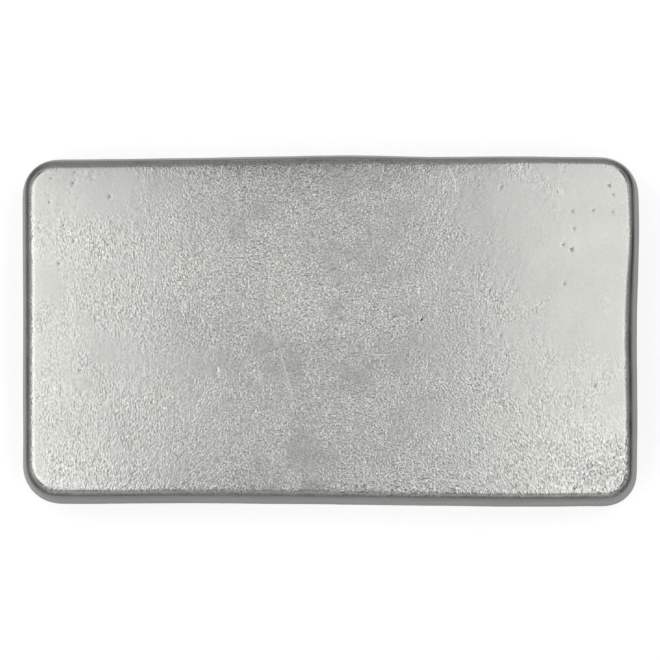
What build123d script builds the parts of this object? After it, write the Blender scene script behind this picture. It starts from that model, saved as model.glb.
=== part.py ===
from build123d import *

import os
from math import cos, radians, sin, sqrt, tan

# Cast metal ingot: a flat rectangular bar poured in an open tapered mould and turned out.
# It lies on its poured face, the larger one. The smaller face, cast against the floor of the
# mould, is on top. Sizes are in millimetres and angles in degrees. X runs along the bar, Y
# across it and Z up, from an origin under the middle of the bar's overall box, on the ground.

# The overall box
bar_length = 117.0
bar_width = 66.65
bar_height = 13.05

# The mould's walls lean in towards its floor, so that the bar drops out
draft_angle = 7.0
# Round edge between the walls and the face cast against the mould's floor
mould_edge_radius = 1.5
# Round edge that surface tension leaves between the walls and the poured face
rim_radius = 0.8

# The poured face sinks as the metal shrinks, deepest in the middle, which freezes last
sink_depth = 0.55
sink_land_end = 13.0    # level metal left at each end of the bar
sink_land_side = 9.0    # level metal left along each side

# Plan radius of each corner of the rim, seen from above with X to the right
radius_front_left = 7.2
radius_front_right = 6.3
radius_back_right = 7.2
radius_back_left = 6.8

# Each side of the rim is a little wavy: a chain of nearly straight runs, with a wide bend where
# two meet. A pair is where they would meet if there were no bend: a share of the half side from
# -1 to 1, and the distance inside the overall box. Less than 0 is outside the box, which the
# bend then just touches. The pairs at -1 and 1 are where the side meets its neighbours.
front_waves = [(-1, 0.62), (-0.7, 0.5), (-0.43, 0.7), (-0.1, 0.5), (0.26, 0.23), (0.66, -0.05), (1, 0.18)]
right_waves = [(-1, 0.7), (-0.42, 0.42), (-0.04, 0.6), (0.28, 0.27), (0.56, -0.05), (1, 0.22)]
back_waves = [(-1, 0.8), (-0.6, 0.6), (-0.27, 0.34), (0.06, -0.09), (0.33, 0.36), (0.56, 0.2), (1, 0.54)]
left_waves = [(-1, 0.36), (-0.2, 0.24), (0.25, 0.16), (1, -0.05)]
# A wide bend takes up this share of the shorter of the two runs that meet there
bend_share = 0.45

# The round rim trims the sharp corner where the walls would meet the poured face, so the
# outline of that sharp corner is drawn this much outside the finished rim
rim_trim = rim_radius * ((1 + sin(radians(draft_angle))) / cos(radians(draft_angle)) - 1)
half_length = bar_length / 2 + rim_trim
half_width = bar_width / 2 + rim_trim


def corner_point(x_side, y_side, x_inset, y_inset):
    """Where two sides of the outline meet, in the quadrant that the two signs name."""
    return Vector(x_side * (half_length - x_inset), y_side * (half_width - y_inset))


def long_side(waves, y_side):
    """The bends of the front or back side, from left to right."""
    return [Vector(share * half_length, y_side * (half_width - inset)) for share, inset in waves[1:-1]]


def short_side(waves, x_side):
    """The bends of the left or right side, from front to back."""
    return [Vector(x_side * (half_length - inset), share * half_width) for share, inset in waves[1:-1]]


def bend_radius(before, bend, after):
    """The radius of a wide bend between the runs from the point before and to the point after."""
    shorter_run = min((bend - before).length, (after - bend).length)
    turn = (bend - before).get_angle(after - bend)
    return bend_share * shorter_run / tan(radians(turn / 2))


# The outline's points and their radii, counter-clockwise from the front left corner
corners = [
    (corner_point(-1, -1, left_waves[0][1], front_waves[0][1]), radius_front_left),
    (corner_point(1, -1, right_waves[0][1], front_waves[-1][1]), radius_front_right),
    (corner_point(1, 1, right_waves[-1][1], back_waves[-1][1]), radius_back_right),
    (corner_point(-1, 1, left_waves[-1][1], back_waves[0][1]), radius_back_left),
]
sides = [
    long_side(front_waves, -1),
    short_side(right_waves, 1),
    long_side(back_waves, 1)[::-1],
    short_side(left_waves, -1)[::-1],
]
rim_points = []
rim_radii = []
for (start, radius), bends, (end, _) in zip(corners, sides, corners[1:] + corners[:1]):
    run = [start, *bends, end]
    rim_points += run[:-1]
    rim_radii.append(radius)
    rim_radii += [bend_radius(*three) for three in zip(run, run[1:], run[2:])]

# The shrinkage sink is an oval dish: a long shallow arc turned about an axis along X, far below
# the bar. The arc's radius sets the dish's length and the axis sets its width. The arc's ends
# are as far below the poured face as its crown is above it, so that the cut goes right through.
sink_half_length = bar_length / 2 - sink_land_end
sink_half_width = bar_width / 2 - sink_land_side
side_radius = (sink_half_width ** 2 + sink_depth ** 2) / (2 * sink_depth)
arc_reach = sqrt(2 * (sink_half_length ** 2 - sink_depth ** 2))
with BuildPart() as sink:
    with BuildSketch(Plane.XZ):
        with BuildLine():
            dish = ThreePointArc((-arc_reach, -sink_depth), (0, sink_depth), (arc_reach, -sink_depth))
            Line(dish @ 1, dish @ 0)
        make_face()
    revolve(axis=Axis((0, 0, sink_depth - side_radius), (1, 0, 0)))

with BuildPart() as ingot:
    with BuildSketch():
        with BuildLine():
            FilletPolyline(*rim_points, radius=rim_radii, close=True)
        make_face()
    extrude(amount=bar_height)
    walls = ingot.faces().filter_by(Axis.Z, reverse=True)
    draft(walls, Plane.XY, draft_angle)
    mould_face = ingot.faces().sort_by(Axis.Z)[-1]
    poured_face = ingot.faces().sort_by(Axis.Z)[0]
    fillet(mould_face.edges(), mould_edge_radius)
    fillet(poured_face.edges(), rim_radius)
    add(sink.part, mode=Mode.SUBTRACT)

ingot.part.label = "ingot"
os.makedirs("parts", exist_ok=True)
export_step(ingot.part, "parts/ingot.step")
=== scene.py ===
from math import acos, cos, degrees, exp, hypot, pi, sin

import bpy
import numpy as np
from mathutils import Matrix, Vector, noise
from mathutils.bvhtree import BVHTree


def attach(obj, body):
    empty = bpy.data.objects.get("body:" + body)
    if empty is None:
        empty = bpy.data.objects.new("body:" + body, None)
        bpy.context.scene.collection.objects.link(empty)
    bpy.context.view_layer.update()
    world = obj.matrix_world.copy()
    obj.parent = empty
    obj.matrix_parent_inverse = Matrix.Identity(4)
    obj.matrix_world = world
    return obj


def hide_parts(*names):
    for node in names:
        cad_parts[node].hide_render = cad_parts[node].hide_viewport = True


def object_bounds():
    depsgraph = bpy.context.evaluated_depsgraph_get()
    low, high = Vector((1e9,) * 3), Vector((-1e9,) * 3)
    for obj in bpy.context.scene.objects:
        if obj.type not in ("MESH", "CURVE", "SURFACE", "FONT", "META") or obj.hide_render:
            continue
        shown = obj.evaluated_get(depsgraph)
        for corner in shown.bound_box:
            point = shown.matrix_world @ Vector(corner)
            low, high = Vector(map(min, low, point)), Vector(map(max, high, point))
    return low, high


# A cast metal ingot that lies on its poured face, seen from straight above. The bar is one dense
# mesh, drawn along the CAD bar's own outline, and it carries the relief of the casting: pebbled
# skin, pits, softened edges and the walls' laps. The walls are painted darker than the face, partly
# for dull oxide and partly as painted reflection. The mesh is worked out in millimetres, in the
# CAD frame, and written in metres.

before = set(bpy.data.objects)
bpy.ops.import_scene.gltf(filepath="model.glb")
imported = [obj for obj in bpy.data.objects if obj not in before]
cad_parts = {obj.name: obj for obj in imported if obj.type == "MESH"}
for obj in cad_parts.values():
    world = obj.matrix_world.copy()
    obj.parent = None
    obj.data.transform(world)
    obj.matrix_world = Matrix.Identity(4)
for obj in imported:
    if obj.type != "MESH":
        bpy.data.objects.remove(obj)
cad_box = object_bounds()
cad_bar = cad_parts["ingot"]

MM = 0.001
bar_height = cad_box[1].z / MM

# Sizes that the CAD bar has too: its round edges, and the level metal round the underside's hollow
mould_edge_radius = 1.5
rim_radius = 0.8
sink_land_end = 13.0
sink_land_side = 9.0

# Cells of the pebbled face, along the bar and across it, and about how wide one is. The mould
# edge has every point of the face's border, the walls every second and the underside every fourth.
cells_along = 360
cells_across = 196
face_cell = 0.32
wall_step = 2
underside_step = 4

# Rows of cells down the bar's side, and how many of the edge's rows have the face's metal
edge_rows = 7
wall_rows = 17
rim_rows = 4
face_metal_rows = 3

# How far the face falls away at the bar's ends and along its sides, and how soon that fades
end_drop = 0.04
end_fade = 0.6
side_drop = 0.1
side_fade = 2.5

# Where the mould edge is sharper or rounder than elsewhere: the place, how far it reaches and
# what it adds to the radius
edge_bends = [
    ((57, 16), 7, -0.3),
    ((57, -8), 16, 0.1),
    ((44, 32), 18, -0.45),
    ((-25, -33), 40, -0.2),
    ((35, -33), 30, -0.35),
]

# Gas pits in the face: the middle of each
small_pits = [
    (-52.0, 28.0), (-47.6, 29.1), (-47.8, 27.1), (-40.9, 24.5), (-52.3, 23.4), (-49.7, 19.1),
    (-47.7, 16.3), (-50.5, 12.0), (-2.1, 5.5), (52.9, 24.8), (45.2, 21.7), (49.1, 21.8),
    (52.8, 21.6), (45.5, 18.5), (43.5, 15.5), (43.7, 8.1), (31.9, 26.1), (20.2, 22.5),
    (23.0, 11.1), (-46.4, -7.9), (-49.9, -25.1), (-45.0, -22.6), (17.3, 1.7), (31.8, -1.6),
    (28.2, -0.4), (49.4, -11.1), (39.5, -13.6), (47.2, -15.0), (54.2, -23.9), (48.5, -27.4),
    (50.4, -27.3), (40.0, -21.6), (42.3, -22.8), (54.7, -26.8),
]
large_pits = [
    (52.2, 26.5), (45.0, 14.6), (17.0, 6.8), (29.9, 6.9), (-21.0, -7.9), (54.2, -22.6),
    (44.9, -25.7), (48.9, -25.8), (45.6, -30.1),
]
# Each kind of pit: the places, the radius of the brim, and how deep and how dark the middle is. The
# darkness is partly dirt in the hollow and partly painted shade.
pit_kinds = [
    (small_pits, 0.20, 0.05, 0.85),
    (large_pits, 0.24, 0.1, 1.0),
]

# How strongly the face is pebbled at least and at most, and the share of it that a wall lacks
least_pebbling = 0.2
most_pebbling = 1.8
wall_smoothness = 0.55
# Where the face is rougher or smoother than elsewhere: the middle of the patch, how far it
# reaches along X and Y, and how much it adds to the pebbling
skin_patches = [
    ((-9, 12), (13, 12), 0.75),
    ((5, 1), (12, 6), 0.25),
    ((0, -29), (70, 6), 0.45),
    ((-5, -15), (14, 7), 0.35),
    ((-5, 27), (18, 5), 0.3),
    ((48, -25), (15, 8), 0.65),
    ((44, 10), (11, 22), -0.8),
    ((28, 24), (9, 9), -0.4),
    ((-29, -7), (9, 5), -0.4),
    ((-38, 26), (13, 6), -0.6),
]
# Chains of raised pebbles: from one place to another, how far they reach to each side, and how
# much they add to the pebbling
pebble_chains = [
    ((25.2, -9.3), (35.4, -16.0), 0.9, 0.9),
    ((29.2, 7.0), (33.1, 1.9), 1.4, 0.9),
    ((38.0, 3.5), (41.5, 5.5), 1.0, 0.9),
    ((36.3, 27.9), (43.2, 25.1), 1.2, 0.4),
]
# A chain adds nothing at a place further than this from its start
chain_range_x = 16
chain_range_y = 12

# Fine scratches in the face: the places that each passes through, and its half width
scratches = [
    ([(-10.4, -0.3), (-7.6, -10.1), (-7.0, -12.4)], 0.11),
    ([(-7.9, 28.9), (-7.1, 30.2)], 0.12),
    ([(22.3, 30.2), (23.2, 28.0), (23.7, 25.5)], 0.12),
    ([(8.3, -5.0), (10.4, -5.0)], 0.08),
]

# The tilt of the skin, in degrees, where the face ends and the walls' darkening begins
face_tilt = 38
# How dark the skin is on each side of the bar: the tilts of the edge, in degrees, where the dark
# line starts, is full, begins to fade and ends, how dark the line is, how dark the wall is, and
# how much brighter the skin is painted where handling has rubbed the edge of the face. The dark
# line is a painted reflection, the wall's darkness is partly dull oxide and partly painted
# reflection, and the brighter edge is a painted highlight.
side_dullness_and_painted_light = {
    (-1, 0): ((12, 25, 46, 78), 0.78, 0.43, 0.25),
    (1, 0): ((7, 26, 43, 84), 0.89, 0.55, 0.12),
    (0, -1): ((4, 44, 66, 106), 0.70, 0.47, 0.05),
    (0, 1): ((0, 28, 62, 95), 0.64, 0.45, 0.0),
}

# Patches of darker tone on the face: the middle of each, how far it reaches along X and Y, and how dark
# it is.
# Less than 0 is brighter. They are partly real stains and partly painted shade and painted light; the
# strip along the back edge is a painted reflection.
face_tone_patches = [
    ((-3, -3), (7, 8), 0.07),
    ((-6, 31), (20, 6), 0.16),
    ((-20, -29), (12, 6), 0.08),
    ((10, -33), (50, 3), 0.05),
    ((-46, 29), (16, 5), 0.06),
    ((-28, 13), (12, 7), -0.05),
    ((-24, -7), (7, 4), -0.06),
    ((-5, 4), (7, 5), -0.10),
    ((46, -28), (24, 12), -0.07),
    ((17, 26), (8, 7), -0.08),
    ((17, 8), (6, 6), -0.07),
    ((-23, -14), (8, 6), -0.05),
]

# The metal: its tint, how bright the skin and the scratches are, and how much the crinkle
# changes that, darker in its hollows and brighter on its tips, which is partly oxide and partly
# painted shade and painted highlight. The depth of the crinkle is in metres, where the pebbling is 1.
silver_tint = (0.988, 1.0, 0.945)
skin_tone = 0.69
scratch_tone = 0.84
crinkle_shade_contrast = 0.155
crinkle_depth = 0.000042

# How brightly the floor glows where a camera or metal sees it
floor_glow = 0.52


def section(tree, height):
    """Where the CAD bar's walls are at one height: points counter-clockwise round the bar."""
    ray_count = 4800
    points = []
    for ray in range(ray_count):
        turn = 2 * pi * ray / ray_count
        hit = tree.ray_cast(Vector((0, 0, height)), Vector((cos(turn), sin(turn), 0)))[0]
        points.append(hit[:2])
    return np.array(points)


def even_stations(loop):
    """Evenly spaced stations along each side of a loop, from the front left corner."""
    signs = [(-1, -1), (1, -1), (1, 1), (-1, 1)]
    corners = [int(np.argmax(loop @ pair)) for pair in signs]
    cells = [cells_along, cells_across, cells_along, cells_across]
    stations = []
    for start, end, count in zip(corners, corners[1:] + corners[:1], cells):
        side = np.roll(loop, -start, axis=0)[:(end - start) % len(loop) + 1]
        steps = np.hypot(*np.diff(side, axis=0).T)
        distance = np.concatenate([[0], np.cumsum(steps)])
        wanted = np.linspace(0, distance[-1], count, endpoint=False)
        stations.append(np.column_stack([np.interp(wanted, distance, side[:, axis]) for axis in (0, 1)]))
    return np.vstack(stations)


def smoothed(loop, spread=2.0):
    """The loop with the CAD mesh's small facets rounded off, over a few stations."""
    reach = round(3 * spread)
    shifts = range(-reach, reach + 1)
    weights = np.array([exp(-(shift / spread) ** 2 / 2) for shift in shifts])
    weights /= weights.sum()
    return sum(weight * np.roll(loop, shift, axis=0) for weight, shift in zip(weights, shifts))


def outward(loop):
    """The unit normal at each station of a counter-clockwise loop."""
    along = np.roll(loop, -1, axis=0) - np.roll(loop, 1, axis=0)
    normal = np.column_stack([along[:, 1], -along[:, 0]])
    return normal / np.hypot(*normal.T)[:, None]


def edge_radii(stations):
    """The mould edge's radius at each station."""
    radii = np.full(len(stations), mould_edge_radius)
    for (x, y), reach, change in edge_bends:
        away = np.hypot(stations[:, 0] - x, stations[:, 1] - y)
        radii += change * np.exp(-(away / reach) ** 2)
    return radii + [0.06 * wave((x, y, 0), 6, 16) for x, y in stations]


def side_profile(lean, radii):
    """The bar's side from the face down to the underside.

    Each row is a distance out from the wall's line at half height, and a height. Both may
    differ from station to station.
    """
    draft = np.arctan(lean)
    middle = bar_height / 2

    def wall_at(height):
        return (middle - height) * lean

    edge_centre = bar_height - radii
    edge_out = wall_at(edge_centre) - radii / cos(draft)
    edge = [
        (edge_out + radii * cos(turn), edge_centre + radii * sin(turn))
        for turn in np.linspace(pi / 2, draft, edge_rows + 1)
    ]
    rim_out = wall_at(rim_radius) - rim_radius / cos(draft)
    rim = [
        (rim_out + rim_radius * cos(turn), rim_radius + rim_radius * sin(turn))
        for turn in np.linspace(draft, -pi / 2, rim_rows + 1)
    ]
    wall = [(wall_at(height), height) for height in np.linspace(edge[-1][1], rim[0][1], wall_rows + 1)]
    return edge, wall[1:-1], rim


def fill(border, along, across):
    """A grid of points inside a closed border, blended from its four sides."""
    front = border[:along + 1]
    right = border[along:along + across + 1]
    back = border[along + across:2 * along + across + 1][::-1]
    left = np.vstack([border[2 * along + across:], border[:1]])[::-1]
    u = np.linspace(0, 1, along + 1)[:, None, None]
    v = np.linspace(0, 1, across + 1)[None, :, None]
    sides = (1 - v) * front[:, None] + v * back[:, None] + (1 - u) * left[None] + u * right[None]
    corners = (1 - u) * ((1 - v) * front[0] + v * back[0]) + u * ((1 - v) * front[-1] + v * back[-1])
    return sides - corners


def soften_shoulders(face):
    """Lets the face fall away a little towards its border."""
    along = np.arange(face.shape[0])
    across = np.arange(face.shape[1])
    to_end = np.minimum(along, along[-1] - along)[:, None] * face_cell
    to_side = np.minimum(across, across[-1] - across)[None, :] * face_cell
    face[:, :, 2] -= end_drop * np.exp(-to_end / end_fade) + side_drop * np.exp(-to_side / side_fade)


def draw_brim(face, place, radius):
    """Draws the face's nearest point to the middle of a pit and its eight neighbours round the brim."""
    away = np.hypot(face[:, :, 0] - place[0], face[:, :, 1] - place[1])
    i, j = np.unravel_index(np.argmin(away), away.shape)
    face[i, j, :2] = place
    for step_i in (-1, 0, 1):
        for step_j in (-1, 0, 1):
            reach = hypot(step_i, step_j)
            if reach:
                x = place[0] + radius * step_i / reach
                y = place[1] + radius * step_j / reach
                face[i + step_i, j + step_j, :2] = (x, y)


class Skin:
    """The points and faces of a mesh, gathered from the face down to the underside."""

    def __init__(self):
        self.points = []
        self.faces = []

    def add(self, points):
        first = len(self.points)
        self.points.extend(points)
        return np.arange(first, first + len(points))

    def grid(self, index, facing_up):
        for lower, upper in zip(index[:-1], index[1:]):
            for a, b, c, d in zip(lower[:-1], upper[:-1], upper[1:], lower[1:]):
                self.faces.append((a, b, c, d) if facing_up else (d, c, b, a))

    def band(self, above, below):
        for a, b, c, d in zip(above, below, np.roll(below, -1), np.roll(above, -1)):
            self.faces.append((a, b, c, d))

    def halving_band(self, above, below):
        """A band whose lower loop has half as many points: each face takes two cells above it."""
        after = np.roll(above, -2)[::2]
        for a, b, c, d, e in zip(above[::2], below, np.roll(below, -1), after, above[1::2]):
            self.faces.append((a, b, c, d, e))


def border_of(index):
    """The points round a grid, counter-clockwise from its first corner."""
    return np.concatenate([index[:-1, 0], index[-1, :-1], index[:0:-1, -1], index[0, :0:-1]])


def loop_at(stations, normals, row, drop=0.0):
    """The points round the bar for one row of its side. The shoulder's drop fades down the wall."""
    out, height = (np.broadcast_to(value, len(stations)) for value in row)
    flat = stations + normals * out[:, None]
    return np.column_stack([flat, height - drop * (height / bar_height) ** 4])


def hollow(underside, tree):
    """Lifts the underside into its shrinkage hollow, as deep as the CAD bar's."""
    depth = tree.ray_cast(Vector((0, 0, -1)), Vector((0, 0, 1)))[0].z
    x_share = underside[:, :, 0] / (cad_box[1].x / MM - sink_land_end)
    y_share = underside[:, :, 1] / (cad_box[1].y / MM - sink_land_side)
    underside[:, :, 2] = depth * np.maximum(1 - x_share ** 2 - y_share ** 2, 0)


def draw_skin(tree):
    """The plain skin of the bar, before any relief."""
    low_height = bar_height * 0.3
    high_height = bar_height * 0.7
    low = section(tree, low_height)
    high = section(tree, high_height)
    lean = (low[:, 0].max() - high[:, 0].max()) / (high_height - low_height)
    stations = smoothed(even_stations(section(tree, bar_height / 2)))
    normals = outward(stations)
    edge, wall, rim = side_profile(lean, edge_radii(stations))

    skin = Skin()
    face = fill(loop_at(stations, normals, edge[0]), cells_along, cells_across)
    soften_shoulders(face)
    drop = bar_height - border_of(face[:, :, 2])
    for pits, radius, _, _ in pit_kinds:
        for place in pits:
            draw_brim(face, place, radius)
    face_index = skin.add(face.reshape(-1, 3)).reshape(face.shape[:2])
    skin.grid(face_index, facing_up=True)
    above = border_of(face_index)
    for row in edge[1:]:
        below = skin.add(loop_at(stations, normals, row, drop))
        skin.band(above, below)
        above = below
    below = skin.add(loop_at(stations, normals, wall[0], drop)[::wall_step])
    skin.halving_band(above, below)
    above = below
    for row in wall[1:] + rim:
        below = skin.add(loop_at(stations, normals, row, drop)[::wall_step])
        skin.band(above, below)
        above = below
    rim_cell = 0.6
    underside_border = loop_at(stations, normals, (rim[-1][0] - rim_cell, 0))[::underside_step]
    underside = fill(underside_border, cells_along // underside_step, cells_across // underside_step)
    hollow(underside, tree)
    underside_index = skin.add(underside.reshape(-1, 3)).reshape(underside.shape[:2])
    skin.halving_band(above, border_of(underside_index))
    skin.grid(underside_index, facing_up=False)
    return skin


def shape_of(name, skin):
    """A Blender object made of a skin, in metres."""
    mesh = bpy.data.meshes.new(name)
    points = (np.array(skin.points) * MM).tolist()
    faces = [tuple(map(int, face)) for face in skin.faces]
    mesh.from_pydata(points, [], faces)
    mesh.update()
    mesh.shade_smooth()
    shape = bpy.data.objects.new(name, mesh)
    bpy.context.scene.collection.objects.link(shape)
    return shape


def read_points(mesh):
    values = np.empty(3 * len(mesh.vertices), np.float32)
    mesh.vertices.foreach_get("co", values)
    return values.reshape(-1, 3).astype(float)


def read_normals(mesh):
    values = np.empty(3 * len(mesh.vertices), np.float32)
    mesh.vertex_normals.foreach_get("vector", values)
    return values.reshape(-1, 3).astype(float)


def wave(point, size, seed):
    """Smooth noise from about -1 to 1 whose lumps are about this size, in millimetres."""
    return noise.noise(Vector(point) / size + Vector((seed * 17.3, seed * 5.9, seed * 9.1)))


def distance_to_segment(point, start, end):
    """How far a point is, seen from above, from the straight line between two places."""
    start = np.array(start)
    along = np.array(end) - start
    share = np.clip(np.dot(point[:2] - start, along) / np.dot(along, along), 0, 1)
    return hypot(*(point[:2] - start - share * along))


def pebbling(point):
    """How strongly the skin is pebbled at a point. The walls are smoother than the face."""
    amount = 1.05 - 0.4 * (point[0] / 50) ** 2 + 0.45 * wave(point, 9, 11) + 0.5 * wave(point, 3.2, 12)
    if point[2] > bar_height / 2:
        for (x, y), (reach_x, reach_y), change in skin_patches:
            amount += change * exp(-((point[0] - x) / reach_x) ** 2 - ((point[1] - y) / reach_y) ** 2)
        for start, end, reach, change in pebble_chains:
            if abs(point[0] - start[0]) < chain_range_x and abs(point[1] - start[1]) < chain_range_y:
                amount += change * exp(-(distance_to_segment(point, start, end) / reach) ** 2)
    on_wall = np.interp(point[2], [0.75 * bar_height, 0.97 * bar_height], [1, 0])
    return min(max(amount, least_pebbling), most_pebbling) * (1 - wall_smoothness * on_wall)


def shade_and_patina(point, normal):
    """How dark the skin is at a point, from 0 to 1 where it is black: partly dull oxide and dirt, partly
    painted reflection, painted shade and painted highlight.
    """
    tilt = degrees(acos(min(max(normal[2], -1), 1)))
    flat = normal[0] ** 2 + normal[1] ** 2
    wall_share = np.interp(tilt, [face_tilt, 75, 110, 150], [0, 1, 1, 0.3])
    lapped = 1 + 0.15 * wave((point[0] / 8, point[1] / 8, point[2]), 0.7, 17) + 0.08 * wave(point, 12, 18)
    on_wall = np.interp(point[2], [0.5 * bar_height, 0.85 * bar_height], [0, 1])
    brightness = 0.0
    # The dark line is painted reflection, the wall's darkness partly dull oxide and partly painted
    # reflection, and the brighter edge of the face a painted highlight
    for (side_x, side_y), (tilts, line, wall, shine) in side_dullness_and_painted_light.items():
        share = max(normal[0] * side_x + normal[1] * side_y, 0) ** 2 / flat
        line_share = on_wall * np.interp(tilt, tilts, [0, 1, 1, 0]) * (1 + 0.08 * wave(point, 4, 13))
        line_light = 1 - line * line_share
        wall_light = 1 - wall * wall_share * lapped
        # Painted highlight along the face's edge, strongest on the sides where the lamps are
        painted_highlight = 1 + shine * rubbed_and_highlight(normal)
        brightness += share * line_light * wall_light * painted_highlight
    # Painted reflection: the edge's dark line is darker still round the bar's corners
    corner_shade_share = (2 * normal[0] * normal[1] / flat) ** 2
    brightness *= 1 - 0.45 * corner_shade_share * exp(-((tilt - 32) / 16) ** 2)
    if tilt < face_tilt:
        # Patches of tone, partly real stains and partly painted shade and painted light
        for (x, y), (reach_x, reach_y), depth in face_tone_patches:
            brightness *= 1 - depth * exp(-((point[0] - x) / reach_x) ** 2 - ((point[1] - y) / reach_y) ** 2)
        # Painted shade and painted light: strongly pebbled skin is painted a little darker in the middle
        # of the face and brighter at its ends, and smooth skin the other way round, to even out how the
        # lamps light the pebbles there
        painted_lamp_balance = np.interp(abs(point[0]), [25, 48], [0.07, -0.09]) * (0.9 - pebbling(point))
        brightness *= 1 + painted_lamp_balance + 0.03 * wave(point, 7, 19)
    return 1 - brightness


def rubbed_and_highlight(normal):
    """How far handling has polished the skin, and where the edge's highlight is painted: 1 along the edge
    of the face, 0 elsewhere.
    """
    tilt = degrees(acos(min(max(normal[2], -1), 1)))
    return np.interp(tilt, [1, 3, 9, 15], [0, 1, 1, 0])


def pebbles(point):
    """Crinkled, worm-like pebbles of the skin that froze against the mould."""
    warp = 0.3
    bent = Vector(point) + warp * Vector((wave(point, 0.9, 1), wave(point, 0.9, 2), wave(point, 0.9, 3)))
    return wave(bent, 0.62, 4) + 0.35 * wave(bent, 1.4, 5)


def grain_place(point):
    """Where the point is in the grain of the skin. Near the bar's ends, pebbles are long across it."""
    x, y, z = point
    return (x, y * np.interp(abs(x), [20, 42], [1.12, 0.62]), z)


def face_relief(point):
    """The face swells gently, and its pebbles stand on that."""
    swell = 0.022 * wave(point, 17, 6) + 0.012 * wave(point, 6, 7)
    return swell + 0.018 * pebbling(point) * pebbles(grain_place(point))


def wall_relief(point):
    """The walls are a little rougher, with laps that run along them."""
    laps = 0.05 * wave((point[0] / 6, point[1] / 6, point[2]), 1.4, 8)
    return laps + 0.03 * wave(point, 9, 9) + 0.02 * pebbles(Vector(point) / 1.6)


def underside_relief(point):
    """Faint rings that the poured face froze in, where it is hollow."""
    from_middle = hypot(point[0] / 1.6, point[1])
    rings = 0.05 * sin(2 * pi * from_middle / 5 + 2 * wave(point, 14, 14))
    return rings * min(point[2] / 0.15, 1) + 0.02 * wave(point, 2.5, 15) - 0.02


def relief(point, normal):
    """How far the cast skin stands out from the plain shape, in millimetres."""
    if normal[2] < -0.5:
        share = min((-0.5 - normal[2]) / 0.4, 1)
        return share * underside_relief(point) + (1 - share) * wall_relief(point)
    share = min(max(normal[2] / 0.7, 0), 1)
    return share * face_relief(point) + (1 - share) * wall_relief(point)


def sink_pits(points, heights, dark):
    """Sinks the middle of each pit and makes it dark, partly dirt in the hollow and partly painted shade.
    """
    nearly_there = 0.05
    for pits, _, depth, darkness in pit_kinds:
        for x, y in pits:
            away = np.hypot(points[:, 0] - x, points[:, 1] - y)
            middle = (away < nearly_there) & (points[:, 2] > bar_height / 2)
            heights[middle] -= depth
            dark[middle] = darkness


def raise_relief(shape):
    """Moves each point out along its normal, and writes what the metal's shader needs to know."""
    mesh = shape.data
    points = read_points(mesh) / MM
    normals = read_normals(mesh)
    heights = np.array([relief(point, normal) for point, normal in zip(points, normals)])
    dark = np.array([shade_and_patina(point, normal) for point, normal in zip(points, normals)])
    sink_pits(points, heights, dark)
    raised = points + normals * heights[:, None]
    raised[:, 2] = np.maximum(raised[:, 2], 0)
    mesh.vertices.foreach_set("co", (raised * MM).ravel())
    write_values(mesh, "shade_and_patina", dark)
    write_values(mesh, "rubbed_and_highlight", [rubbed_and_highlight(normal) for normal in normals])
    write_values(mesh, "pebbling", [pebbling(point) for point in points])
    places = np.array([grain_place(point) for point in points])
    mesh.attributes.new("grain_place", "FLOAT_VECTOR", "POINT").data.foreach_set("vector", places.ravel())
    mesh.update()


def write_values(mesh, name, values):
    """Stores one number for each point of the mesh, for its shader to read."""
    mesh.attributes.new(name, "FLOAT", "POINT").data.foreach_set("value", values)


def make_ingot():
    """The cast bar, drawn round the CAD bar's walls and given its relief."""
    points = [vertex.co / MM for vertex in cad_bar.data.vertices]
    faces = [tuple(face.vertices) for face in cad_bar.data.polygons]
    tree = BVHTree.FromPolygons(points, faces)
    ingot = shape_of("ingot_cast", draw_skin(tree))
    raise_relief(ingot)
    return ingot


def add_node(tree, kind, **values):
    """A shader node with some of its sockets or properties set."""
    node = tree.nodes.new(kind)
    for name, value in values.items():
        if name in node.bl_rna.properties:
            setattr(node, name, value)
        else:
            node.inputs[name.replace("_", " ")].default_value = value
    return node


def calculate(tree, operation, first, second=0.0):
    """A Math node. Each input is a number or another node's output."""
    node = add_node(tree, "ShaderNodeMath", operation=operation)
    for socket, value in zip(node.inputs, (first, second)):
        if isinstance(value, float):
            socket.default_value = value
        else:
            tree.links.new(value, socket)
    return node.outputs["Value"]


def mapped(tree, value, low, high, to_low, to_high):
    """A value brought linearly from one range to another."""
    node = add_node(tree, "ShaderNodeMapRange", clamp=False)
    tree.links.new(value, node.inputs["Value"])
    for name, number in (("From Min", low), ("From Max", high), ("To Min", to_low), ("To Max", to_high)):
        node.inputs[name].default_value = number
    return node.outputs["Result"]


def vector_step(tree, operation, first, second):
    """A Vector Math node. Each input is three numbers or another node's output."""
    node = add_node(tree, "ShaderNodeVectorMath", operation=operation)
    for socket, value in zip(node.inputs, (first, second)):
        if isinstance(value, tuple):
            socket.default_value = value
        else:
            tree.links.new(value, socket)
    return node


def scratch_share(tree, place, start, end, half_width):
    """1 in the middle of one straight scratch, falling to 0 at its sides."""
    run = (end[0] - start[0], end[1] - start[1], 0.0)
    from_start = vector_step(tree, "SUBTRACT", place, (start[0], start[1], bar_height)).outputs["Vector"]
    along = vector_step(tree, "DOT_PRODUCT", from_start, run).outputs["Value"]
    share = calculate(tree, "DIVIDE", along, run[0] ** 2 + run[1] ** 2)
    share = calculate(tree, "MINIMUM", calculate(tree, "MAXIMUM", share, 0.0), 1.0)
    nearest = add_node(tree, "ShaderNodeVectorMath", operation="SCALE")
    nearest.inputs[0].default_value = run
    tree.links.new(share, nearest.inputs["Scale"])
    away = vector_step(tree, "DISTANCE", from_start, nearest.outputs["Vector"]).outputs["Value"]
    fade = mapped(tree, away, half_width * 0.4, half_width * 1.6, 1.0, 0.0)
    return calculate(tree, "MINIMUM", calculate(tree, "MAXIMUM", fade, 0.0), 1.0)


def all_scratches(tree, place):
    """1 in the middle of any scratch, falling to 0 away from them all."""
    marks = None
    for places, half_width in scratches:
        for start, end in zip(places[:-1], places[1:]):
            mark = scratch_share(tree, place, start, end, half_width)
            marks = mark if marks is None else calculate(tree, "MAXIMUM", marks, mark)
    return marks


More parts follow.
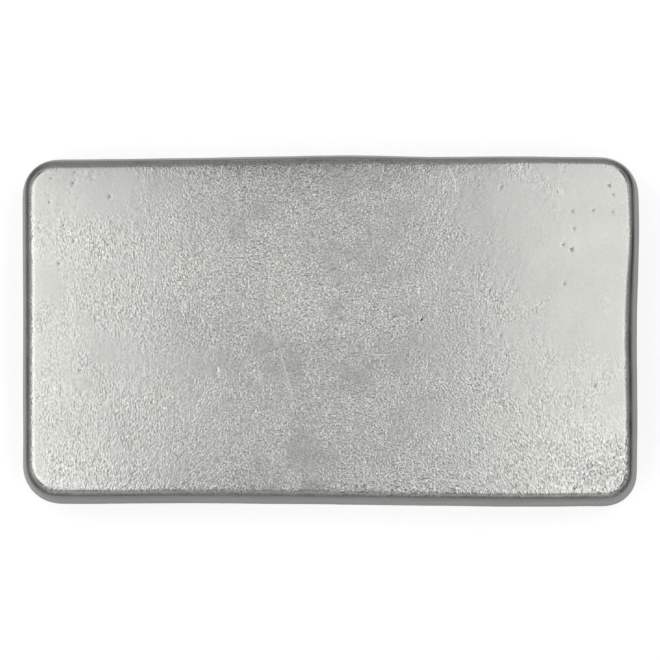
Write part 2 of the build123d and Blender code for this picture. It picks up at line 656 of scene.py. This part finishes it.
def make_metal(name, grazing_tint):
    """Cast silver: satin, finely crinkled where it is pebbled, and darker where the mesh holds oxide and
    painted shade.

    The tint is how much of its shine the metal keeps when it is seen at a low angle.
    """
    material = bpy.data.materials.new(name)
    material.use_nodes = True
    tree = material.node_tree
    link = tree.links.new
    shader = tree.nodes["Principled BSDF"]
    shader.inputs["Metallic"].default_value = 1.0
    shader.inputs["Specular Tint"].default_value = (grazing_tint, grazing_tint, grazing_tint, 1)

    where = add_node(tree, "ShaderNodeTexCoord")
    scale = add_node(tree, "ShaderNodeVectorMath", operation="SCALE")
    scale.inputs["Scale"].default_value = 1 / MM
    link(where.outputs["Object"], scale.inputs[0])
    place = scale.outputs["Vector"]
    pebbled = add_node(tree, "ShaderNodeAttribute", attribute_name="pebbling").outputs["Fac"]
    dark = add_node(tree, "ShaderNodeAttribute", attribute_name="shade_and_patina").outputs["Fac"]
    polished = add_node(tree, "ShaderNodeAttribute", attribute_name="rubbed_and_highlight").outputs["Fac"]
    crinkle = add_node(tree, "ShaderNodeTexNoise", Scale=2.9, Detail=0.6, Roughness=0.5, Distortion=0.35)
    grained = add_node(tree, "ShaderNodeAttribute", attribute_name="grain_place").outputs["Vector"]
    link(grained, crinkle.inputs["Vector"])
    crinkle = crinkle.outputs["Fac"]
    blotch = add_node(tree, "ShaderNodeTexNoise", Scale=0.16, Detail=3.0)
    link(place, blotch.inputs["Vector"])
    scratched = all_scratches(tree, place)

    bump = add_node(tree, "ShaderNodeBump", Distance=crinkle_depth)
    link(calculate(tree, "POWER", pebbled, 1.5), bump.inputs["Strength"])
    link(calculate(tree, "SUBTRACT", crinkle, scratched), bump.inputs["Height"])
    link(bump.outputs["Normal"], shader.inputs["Normal"])

    # Partly oxide, partly painted shade and painted highlight: the skin is darker in the crinkle's
    # hollows and brighter on its tips
    grain = mapped(tree, crinkle, 0.3, 0.7, -crinkle_shade_contrast, crinkle_shade_contrast)
    grain = calculate(tree, "MULTIPLY", grain, pebbled)
    bright = calculate(tree, "ADD", grain, mapped(tree, scratched, 0.0, 1.0, skin_tone, scratch_tone))
    tone = calculate(tree, "MULTIPLY", bright, calculate(tree, "SUBTRACT", 1.0, dark))
    colour = add_node(tree, "ShaderNodeVectorMath", operation="SCALE")
    colour.inputs[0].default_value = silver_tint
    link(tone, colour.inputs["Scale"])
    link(colour.outputs["Vector"], shader.inputs["Base Color"])

    fine_gloss = mapped(tree, crinkle, 0.3, 0.7, -0.01, 0.01)
    broad_gloss = mapped(tree, blotch.outputs["Fac"], 0.3, 0.7, 0.28, 0.30)
    gloss = calculate(tree, "ADD", fine_gloss, broad_gloss)
    gloss = calculate(tree, "ADD", gloss, calculate(tree, "MULTIPLY", dark, 0.05))
    gloss = calculate(tree, "SUBTRACT", gloss, calculate(tree, "MULTIPLY", polished, 0.02))
    link(gloss, shader.inputs["Roughness"])
    return material


def coat(mesh, face_metal, wall_metal):
    """Gives the two flat faces, down to the dark line of the edge, one metal and the walls the other."""
    mesh.materials.append(face_metal)
    mesh.materials.append(wall_metal)
    face_cells = cells_along * cells_across
    cells_round = 2 * (cells_along + cells_across)
    underside_cells = face_cells // underside_step ** 2
    slots = np.ones(len(mesh.polygons), np.int32)
    slots[:face_cells + face_metal_rows * cells_round] = 0
    slots[-underside_cells:] = 0
    mesh.polygons.foreach_set("material_index", slots)


def make_floor():
    """A white floor that keeps the bar's shadow. What cameras and metal see of it is part glow."""
    size = 3.0
    mesh = bpy.data.meshes.new("floor")
    corners = [(-size, -size, 0), (size, -size, 0), (size, size, 0), (-size, size, 0)]
    mesh.from_pydata(corners, [], [(0, 1, 2, 3)])
    floor = bpy.data.objects.new("floor", mesh)
    bpy.context.scene.collection.objects.link(floor)
    material = bpy.data.materials.new("pale_floor")
    material.use_nodes = True
    tree = material.node_tree
    shader = tree.nodes["Principled BSDF"]
    shader.inputs["Base Color"].default_value = (0.9, 0.9, 0.9, 1)
    shader.inputs["Roughness"].default_value = 0.9
    shader.inputs["Specular IOR Level"].default_value = 0.0
    shader.inputs["Emission Color"].default_value = (1, 1, 1, 1)
    ray = add_node(tree, "ShaderNodeLightPath").outputs
    seen = calculate(tree, "MAXIMUM", ray["Is Camera Ray"], ray["Is Glossy Ray"])
    seen = calculate(tree, "MAXIMUM", seen, ray["Is Transmission Ray"])
    glow = calculate(tree, "MULTIPLY", seen, floor_glow)
    tree.links.new(glow, shader.inputs["Emission Strength"])
    mesh.materials.append(material)


def make_lamp(name, place, size, glow):
    """A soft box that faces down. Its glow is how bright it looks, where 1 is plain white."""
    light = bpy.data.lights.new(name, "AREA")
    light.shape = "RECTANGLE"
    light.size, light.size_y = size
    light.energy = glow * pi * size[0] * size[1]
    lamp = bpy.data.objects.new(name, light)
    lamp.location = place
    lamp.visible_camera = False
    bpy.context.scene.collection.objects.link(lamp)


def make_world():
    """A pale studio, darker overhead, where the camera hangs."""
    world = bpy.data.worlds.new("studio")
    bpy.context.scene.world = world
    world.use_nodes = True
    tree = world.node_tree
    place = add_node(tree, "ShaderNodeTexCoord")
    split = add_node(tree, "ShaderNodeSeparateXYZ")
    tree.links.new(place.outputs["Generated"], split.inputs["Vector"])
    strength = add_node(tree, "ShaderNodeMapRange", interpolation_type="SMOOTHSTEP")
    tree.links.new(split.outputs["Z"], strength.inputs["Value"])
    for name, number in (("From Min", 0.62), ("From Max", 0.96), ("To Min", 0.75), ("To Max", 0.135)):
        strength.inputs[name].default_value = number
    tree.links.new(strength.outputs["Result"], tree.nodes["Background"].inputs["Strength"])
    tree.nodes["Background"].inputs["Color"].default_value = (1, 1, 1, 1)


def make_camera():
    """The photograph's camera: far above the bar, a little to the right of and in front of its middle."""
    place = Vector((0.0125, -0.040, 0.800))
    target = Vector((0, -0.00013, 0.006))
    data = bpy.data.cameras.new("camera")
    data.sensor_width = 36
    data.lens = 230.48
    camera = bpy.data.objects.new("camera", data)
    back = (place - target).normalized()
    right = Vector((0, 1, 0)).cross(back).normalized()
    turn = Matrix((right, back.cross(right), back)).transposed()
    camera.matrix_world = Matrix.Translation(place) @ turn.to_4x4()
    bpy.context.scene.collection.objects.link(camera)
    bpy.context.scene.camera = camera


make_camera()
make_world()
make_lamp("left_soft_box", place=(-0.100, 0.012, 0.32), size=(0.082, 0.27), glow=1.62)
make_lamp("right_soft_box", place=(0.082, 0.012, 0.32), size=(0.080, 0.27), glow=1.53)
make_floor()

ingot = make_ingot()
face_metal = make_metal("face_metal", grazing_tint=1.0)
wall_metal = make_metal("wall_metal", grazing_tint=0.5)
coat(ingot.data, face_metal, wall_metal)
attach(ingot, "root")
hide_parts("ingot")

bpy.context.scene.view_settings.view_transform = "Standard"
